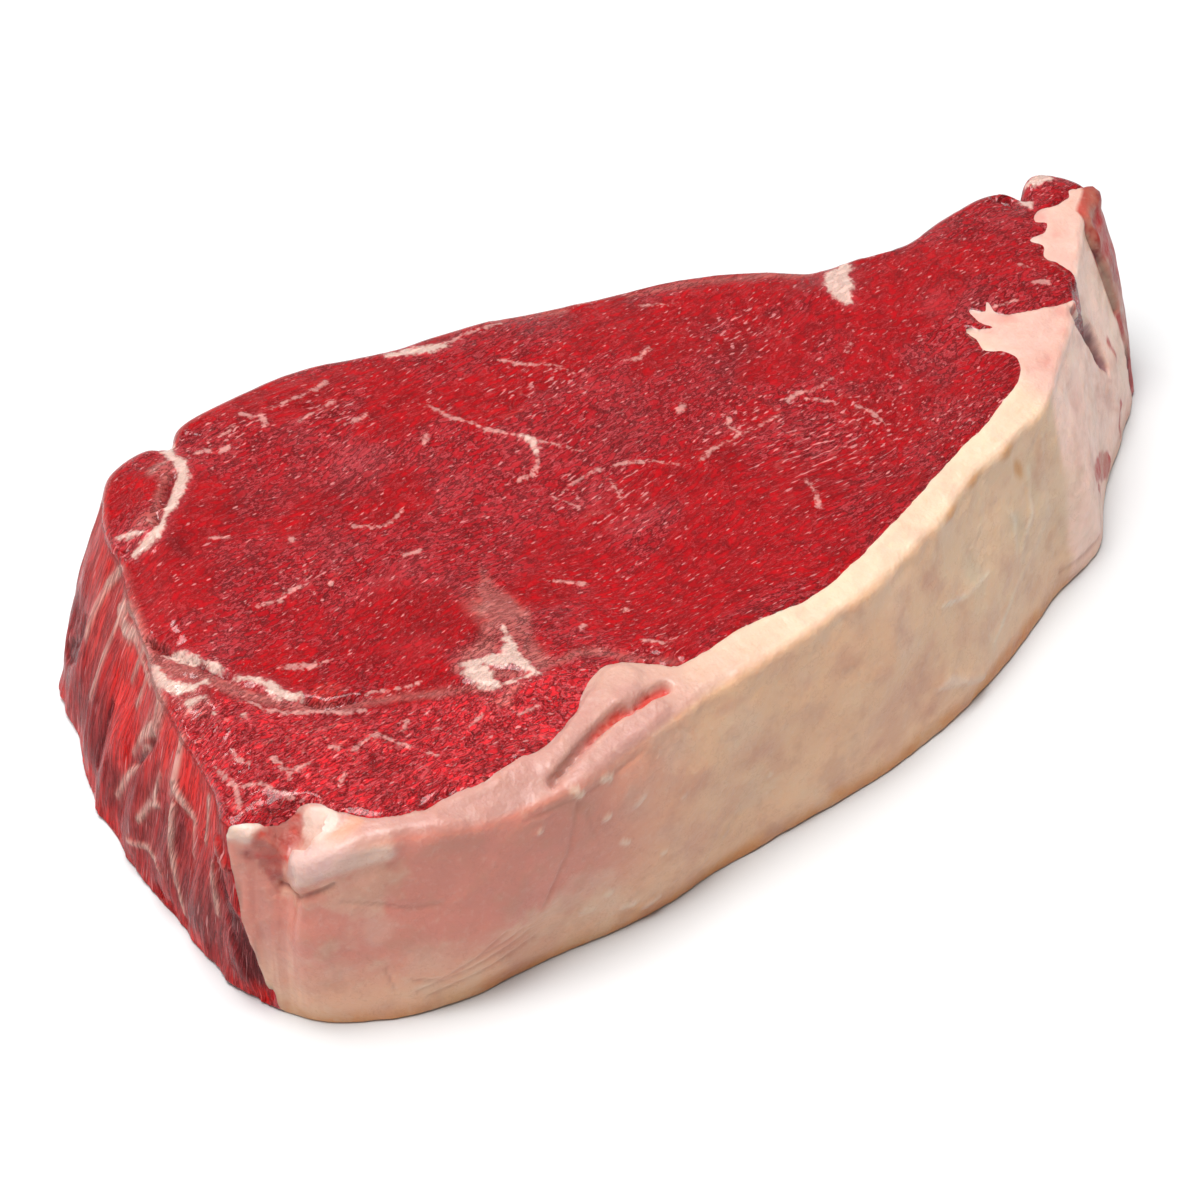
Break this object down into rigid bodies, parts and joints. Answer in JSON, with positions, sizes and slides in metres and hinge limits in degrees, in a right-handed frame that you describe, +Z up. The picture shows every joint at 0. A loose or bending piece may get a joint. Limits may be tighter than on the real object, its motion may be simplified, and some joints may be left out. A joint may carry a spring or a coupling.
{
  "type": "raw strip loin steak",
  "caption": "Thick raw boneless beef steak: a teardrop-shaped slice of red lean with a cap of cream fat along one long side and round its tail.",
  "frame": {"origin": "middle of the steak's footprint, on the board it lies on", "axes": "+X along the steak towards its narrow tail, -Y towards the cap of fat, +Z up through the thickness, out of the cut face"},
  "size_m": [0.2053, 0.1052, 0.0385],
  "materials": {
    "lean": "wet raw muscle, bright red with pale flecks of marbling, glossy",
    "fat": "waxy beef fat, cream at the cut and tan to pink outside, satin"
  },
  "bodies": {
    "root": {"lean": "lean", "fat_cap": "fat"}
  },
  "joints": []
}
